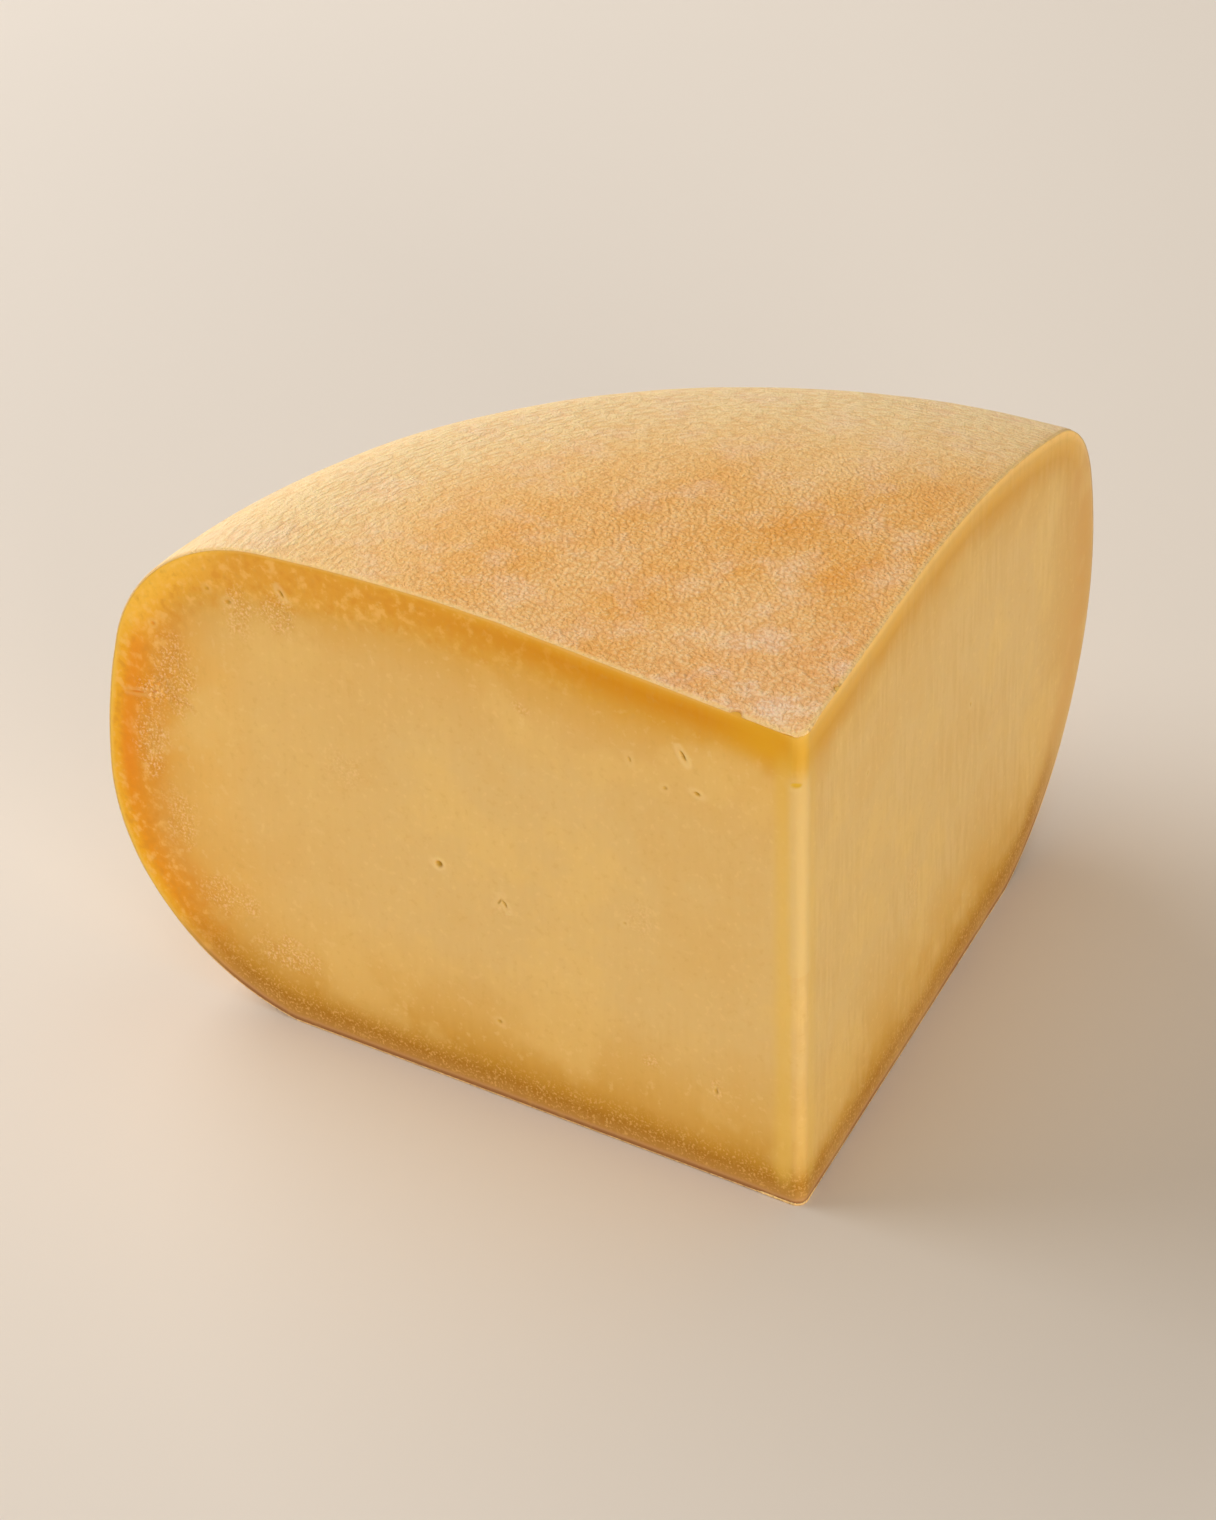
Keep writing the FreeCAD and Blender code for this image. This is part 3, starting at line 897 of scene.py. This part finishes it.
def paste_bands(recipe, depth, upward, left_to_right):
    crown = band(recipe, depth, [
        (0.5, (230, 174, 80)), (1.0, (224, 162, 46)), (2.0, (218, 150, 18)), (3.6, (212, 140, 6)),
        (5.5, (213, 144, 18)), (9, (216, 158, 54)), (13, (219, 168, 80)), (19, (221, 176, 99)),
    ])
    rim = band(recipe, depth, [
        (0.5, (242, 190, 76)), (1.5, (238, 172, 28)), (4.5, (231, 150, 10)), (7, (226, 148, 24)),
        (12, (221, 154, 54)), (18, (223, 166, 72)), (26, (226, 176, 92)),
    ])
    dull_rim = band(recipe, depth, [
        (0.5, (230, 192, 134)), (1.5, (222, 180, 106)), (4.5, (220, 173, 94)), (8, (219, 171, 94)),
        (14, (217, 170, 92)), (22, (219, 176, 101)),
    ])
    dull_crown = band(recipe, depth, [
        (0.5, (250, 200, 112)), (1.2, (243, 193, 102)), (2.2, (228, 177, 84)), (4, (224, 169, 68)),
        (6, (213, 156, 56)), (8.5, (214, 161, 72)), (12, (217, 172, 93)), (20, (222, 182, 111)),
    ])
    foot = band(recipe, depth, [
        (0.5, (146, 94, 52)), (0.9, (160, 108, 60)), (1.3, (192, 142, 88)), (2.0, (184, 132, 60)),
        (5.0, (174, 118, 24)), (8, (194, 140, 40)), (12, (209, 158, 68)), (19, (218, 172, 90)),
    ])
    right = left_to_right.ease(-3, 3)
    side = recipe.blend(right, rim, dull_rim)
    top = recipe.blend(right, crown, dull_crown)
    colour = recipe.blend(upward.ease(0.35, 0.85), side, top)
    return recipe.blend((upward * -1).ease(0.55, 0.95), colour, foot)


# %% [markdown]
# Over the bands come the things that make a cut face look cut: the drag of the
# knife as upright streaks, a cloudy heart, pale crumbs where it is torn, a
# grainy foot, yellow painted light near the upright edge, where light comes
# through the thin paste, and a painted highlight down that rounded edge.

# %% Paste: paint
def paint_paste():
    recipe, shader, place = start_look(paste_look)
    x, _, z = recipe.split(place)
    depth = stored(recipe, "depth")
    upward = recipe.split(stored(recipe, "toward_rind", "Vector"))[2]
    torn = stored(recipe, "torn")
    right = x.ease(-6, 2)

    streaks = grain(recipe, place, 1.5, 3.0, (1, 1, 0.12))
    drift = grain(recipe, place, 16, 2.0)
    cloud = grain(recipe, place, 26, 4.0)
    freckle = grain(recipe, place, 1.8, 3.0)
    crumbs = grain(recipe, place, 0.6, 2.0)
    wander = depth * (0.74 + drift * 0.30 + streaks * 0.22)
    colour = paste_bands(recipe, wander, upward, x)

    left = (x * -1).ease(50, 75)
    inner = depth.ease(4, 14)
    warm = (x * -1).ease(50, 105) * depth.ease(10, 25)
    colour = recipe.blend(warm * 0.6, colour, shade(229, 183, 100))
    shoulder = upward.ease(0.1, 0.45) * (1 - upward.ease(0.86, 0.99)) * left
    colour = recipe.blend(shoulder * (1 - depth.ease(2.0, 11.0)) * 0.9, colour, shade(248, 190, 66))
    outer_crown = upward.ease(0.7, 0.95) * (x * -1).ease(30, 80) * depth.ease(0.8, 2.0)
    colour = recipe.blend(outer_crown * (1 - depth.ease(7, 14)) * 0.65, colour, shade(229, 166, 60))
    colour = recipe.blend(cloud.ease(0.50, 0.66) * inner * 0.55, colour, shade(230, 190, 112))
    colour = recipe.blend((1 - cloud.ease(0.34, 0.50)) * inner * 0.30, colour, shade(218, 171, 92))
    colour = recipe.blend(freckle.ease(0.56, 0.72) * inner * 0.30, colour, shade(237, 201, 132))
    colour = recipe.blend((1 - freckle.ease(0.28, 0.44)) * 0.22, colour, shade(206, 156, 72))

    patchy = drift.ease(0.42, 0.58) * right
    lines = streaks.ease(0.38, 0.62)
    colour = recipe.blend((1 - lines) * (0.05 + patchy * 0.14), colour, shade(204, 160, 84))
    colour = recipe.blend(lines * (patchy * 0.14), colour, shade(229, 194, 130))
    right_rim = right * (1 - upward.math("ABSOLUTE", upward).ease(0.4, 0.8)) * (1 - depth.ease(6, 15))
    colour = recipe.blend(right_rim * (1 - drift.ease(0.40, 0.62)) * 0.35, colour, shade(206, 146, 66))

    fleck = grain(recipe, place, 2.6, 5.0)
    near_rind = depth.ease(0.5, 1.5) * (1 - depth.ease(9, 15)) * (x * -1).ease(20, 70)
    near_rind = near_rind * (1 - (upward * -1).ease(0.6, 0.95))
    colour = recipe.blend(near_rind * fleck.ease(0.50, 0.68) * 0.38, colour, shade(250, 202, 118))
    colour = recipe.blend(near_rind * (1 - fleck.ease(0.32, 0.50)) * 0.45, colour, shade(214, 140, 30))

    left_rim = z.ease(38, 58) * (1 - z.ease(74, 98)) * (x * -1).ease(85, 95)
    glow = depth.ease(2.2, 4.2) * (1 - depth.ease(5.0, 9.0)) * left_rim
    colour = recipe.blend(glow * drift, colour, shade(232, 134, 8))

    grains = crumbs.ease(0.50, 0.68)
    at_foot = (upward * -1).ease(0.6, 0.95) * depth.ease(1.5, 2.5) * (1 - depth.ease(7, 12))
    colour = recipe.blend(at_foot * grains * 0.7, colour, shade(220, 172, 96))
    colour = recipe.blend(torn * grains * 0.8, colour, shade(244, 200, 146))
    colour = recipe.blend(torn * (1 - crumbs.ease(0.34, 0.50)) * 0.5, colour, shade(208, 142, 56))

    from_axis = recipe.vector("SUBTRACT", place, (axis.x / MM, axis.y / MM, 0))
    from_axis = recipe.vector("MULTIPLY", from_axis, (1, 1, 0))
    from_axis = recipe.vector("LENGTH", from_axis, (0, 0, 0), "Value")
    # Painted light: yellow a few millimetres from the upright edge stands in for light shining through the
    # thin paste there, weaker on the right face.
    tip_light_through = from_axis.ease(2.2, 3.4) * (1 - from_axis.ease(4.5, 8.0)) * depth.ease(2, 8)
    colour = recipe.blend(tip_light_through * (0.75 - right * 0.45), colour, shade(229, 186, 84))
    tip_crown = (1 - from_axis.ease(6, 26)) * upward.ease(0.4, 0.9) * (1 - depth.ease(5, 12))
    colour = recipe.blend(tip_crown * (0.9 - right * 0.6), colour, shade(222, 162, 22))
    # Painted highlight: a pale strip down the rounded upright edge, where it catches the front light; near
    # the top the strip is the olive-yellow paste's own colour.
    edge = (1 - from_axis.ease(2.3, 4.4)) * (1 - (upward * -1).ease(0.5, 0.9))
    colour = recipe.blend(edge * (0.4 + depth.ease(7, 14) * 0.25), colour, recipe.blend(
        depth.ease(7, 14), shade(220, 174, 62), shade(222, 188, 120)))

    hollow = stored(recipe, "hollow")
    # The eyes' hollows are painted deep olive-gold: partly the lining's own colour and partly painted
    # shade, so each hole looks dark and round.
    eye = recipe.blend(from_axis.ease(3, 5), shade(216, 170, 16), shade(192, 146, 40))
    eye = recipe.blend((x * -1).ease(95, 99), eye, shade(222, 130, 36))
    colour = recipe.blend(stored(recipe, "ring") * 0.45, colour, shade(238, 206, 142))
    colour = recipe.blend(hollow * 0.9, colour, eye)
    feed(recipe.tree, colour, shader.inputs["Base Color"])

    rough = 0.42 + freckle * 0.16 + torn * 0.2
    feed(recipe.tree, rough, shader.inputs["Roughness"])
    relief = streaks * (0.2 + patchy * 0.25) + freckle * 0.35 + crumbs * (0.12 + torn * 1.6)
    bump = recipe.add("ShaderNodeBump", {"Height": relief, "Distance": 0.14 * MM, "Strength": 0.8})
    feed(recipe.tree, bump, shader.inputs["Normal"])
    soften(shader, 0.2, 1.2 * MM, 0.2)


paint_paste()

# %% [markdown]
# The rind was dried in a cloth. Its skin is like fine leather: pebbly on the
# crown, and drawn out into wrinkles that run round the wheel on the shoulder.
# Golden-brown sits in the grooves, and a pale, pinkish bloom lies in patches.
# The same pattern gives the bump and the colour: the grooves are painted darker,
# partly their own golden-brown and partly painted shade, and the crests paler,
# partly a painted highlight. Towards the rim and the back the rind is paler,
# partly its own colour and partly a painted sheen where the key light grazes it.

# %% Rind: paint
def paint_rind():
    recipe, shader, place = start_look(rind_look)
    skin = stored(recipe, "skin", "Vector")
    skin = recipe.scaled(skin, 1 / MM)
    out = recipe.split(skin)[2]
    outer = out.ease(72, 135)
    near_tip = 1 - out.ease(18, 55)

    pebbles = cells(recipe, place, 1.0)
    wrinkles = cells(recipe, recipe.vector("MULTIPLY", skin, (0.34, 1, 1)), 1.1)
    fine = grain(recipe, place, 0.5, 2.0)
    folds = grain(recipe, place, 3.2, 3.0)
    leather = between(outer * 0.9, pebbles, wrinkles) + (fine - 0.5) * 0.8
    leather = leather + (folds - 0.5) * (0.4 + near_tip * 1.0)

    cloth = recipe.add("ShaderNodeVectorRotate", {"Vector": place, "Angle": math.radians(-25)},
                       rotation_type="Z_AXIS")
    patches = grain(recipe, cloth, 20, 4.0, (0.5, 1, 1))
    bloom = grain(recipe, place, 11, 5.0)
    colour = recipe.add("ShaderNodeValToRGB", {0: patches}, stops=[
        (0.34, shade(245, 172, 82)), (0.45, shade(247, 182, 98)), (0.54, shade(249, 190, 114)),
        (0.64, shade(252, 200, 132)),
    ])
    # The rind pales towards the rim and the back: partly its own colour, partly a painted sheen where the
    # key light grazes it.
    colour = recipe.blend(outer * 0.8, colour, shade(255, 216, 154))
    colour = recipe.blend(out.ease(100, 150) * 0.7, colour, shade(255, 228, 178))
    pale = bloom.ease(0.46, 0.70) * (0.40 + near_tip * 0.30) + near_tip * 0.25
    colour = recipe.blend(pale, colour, shade(252, 214, 178))
    # The grooves are painted darker golden-brown: partly their own colour, partly painted shade in the
    # valleys.
    groove_tint_and_shade = 1 - leather.ease(0.28, 0.56)
    colour = recipe.blend(groove_tint_and_shade * (0.34 - outer * 0.10), colour, shade(224, 144, 50))
    # The crests are painted paler: partly paler skin, partly a painted highlight on the raised bits.
    crest_tint_and_highlight = leather.ease(0.60, 0.90)
    colour = recipe.blend(crest_tint_and_highlight * 0.30, colour, shade(255, 226, 176))
    # Paler along the pressed lip by the cut: partly the cut rind's own colour, partly a painted highlight
    # where the rounded lip catches light.
    lip_tint_and_highlight = 1 - (stored(recipe, "to_cut") / MM).ease(0.2, 1.3)
    colour = recipe.blend(lip_tint_and_highlight * 0.8, colour, shade(250, 208, 140))
    colour = recipe.blend(stored(recipe, "nick") * 1.5, colour, shade(196, 138, 50))
    feed(recipe.tree, colour, shader.inputs["Base Color"])

    bump = recipe.add("ShaderNodeBump", {"Height": leather, "Distance": 0.45 * MM, "Strength": 0.9})
    feed(recipe.tree, bump, shader.inputs["Normal"])
    shader.inputs["Roughness"].default_value = 0.6
    soften(shader, 0.12, 1.5 * MM, 0.2)


paint_rind()

# %% [markdown]
# The rind's cut edge is a line of little over half a millimetre. It is pale under the crown,
# yellow-orange round the left rim, where it melts into the paste, and
# pinkish-tan with a dark seam at the foot, and darker still by the floor,
# which is painted contact shade.

# %% Rind edge: paint
def paint_rind_edge():
    recipe, shader, place = start_look(rind_edge_look)
    x, _, z = recipe.split(place)
    right = x.ease(-10, 10)
    rim = recipe.blend(right, shade(252, 202, 96), shade(238, 204, 154))
    crown = recipe.blend(right, shade(248, 200, 122), shade(255, 216, 140))
    colour = recipe.blend(z.ease(96, 116), rim, crown)
    # At the foot the edge is darker and pinker: partly its own pinkish-tan with a dark seam, partly
    # painted contact shade next to the floor.
    foot = recipe.add("ShaderNodeValToRGB", {0: z}, stops=[
        (0.0, shade(160, 118, 86)), (0.25, shade(200, 156, 118)), (0.5, shade(190, 140, 100)),
        (0.65, shade(146, 96, 56)),
    ])
    colour = recipe.blend(1 - z.ease(0.7, 1.4), colour, foot)
    colour = recipe.blend(stored(recipe, "nick") * 1.5, colour, shade(200, 142, 48))
    feed(recipe.tree, colour, shader.inputs["Base Color"])
    shader.inputs["Roughness"].default_value = 0.5
    soften(shader, 0.2, 1.5 * MM, 0.35)


paint_rind_edge()

# %% [markdown]
# Both pieces stand for one CAD node and ride on the only body there is.

# %% Ride
for piece in (rind, paste):
    for face in piece.data.polygons:
        face.use_smooth = True
    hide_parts("gouda_wedge")
    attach(piece, "root")

# %% [markdown]
# A plain pale floor, a hair below the cheese so that the two never share a
# plane. It is far larger than the view, so no edge of it shows.

# %% Floor
FLOOR_HALF = 6.0
FLOOR_HEIGHT = -0.1 * MM
corners = [(x * FLOOR_HALF, y * FLOOR_HALF, FLOOR_HEIGHT) for x, y in ((-1, -1), (1, -1), (1, 1), (-1, 1))]
floor_mesh = bpy.data.meshes.new("floor")
floor_mesh.from_pydata(corners, [], [(0, 1, 2, 3)])
floor = new_object("floor", floor_mesh)
floor_look = bpy.data.materials.new("pale_floor")
_, floor_shader, _ = start_look(floor_look)
floor_shader.inputs["Base Color"].default_value = shade(228, 219, 209)
floor_shader.inputs["Roughness"].default_value = 0.9
floor_mesh.materials.append(floor_look)

# %% [markdown]
# Three soft windows: a large one behind the wheel's left side, a weaker one in
# front that keeps the cut faces clear, and a faint one overhead. They are near
# white, so a colour shows about as it is mixed. A lamp's light falls off with
# the square of its distance, so its energy grows by that square.

# %% Lamps
AIM_HEIGHT = 0.06
world = bpy.data.worlds.new("studio")
world.use_nodes = True
bpy.context.scene.world = world
background = world.node_tree.nodes["Background"]
background.inputs["Color"].default_value = shade(255, 242, 222)
background.inputs["Strength"].default_value = 0.25


def softbox(name, azimuth, elevation, distance, size, level, paint):
    """A soft window. level is its light at the cheese, 1 for a full white."""
    data = bpy.data.lights.new(name, "AREA")
    data.shape = "RECTANGLE"
    data.size, data.size_y = size
    data.energy = level * math.pi ** 2 * distance ** 2
    data.color = paint[:3]
    lamp = new_object(name, data)
    turn, lift = math.radians(azimuth), math.radians(elevation)
    way = Vector((math.cos(turn) * math.cos(lift), math.sin(turn) * math.cos(lift), math.sin(lift)))
    lamp.location = way * distance + Vector((0, 0, AIM_HEIGHT))
    lamp.rotation_mode = "QUATERNION"
    lamp.rotation_quaternion = (-way).to_track_quat("-Z", "Y")


softbox("key", 128, 33, 1.3, (1.9, 0.8), 1.04, shade(255, 254, 253))
softbox("front_fill", -84, 9, 3.0, (1.6, 1.0), 0.70, shade(255, 251, 243))
softbox("overhead", 0, 89, 2.0, (1.6, 1.6), 0.19, shade(255, 253, 250))
bpy.context.scene.view_settings.view_transform = "Standard"
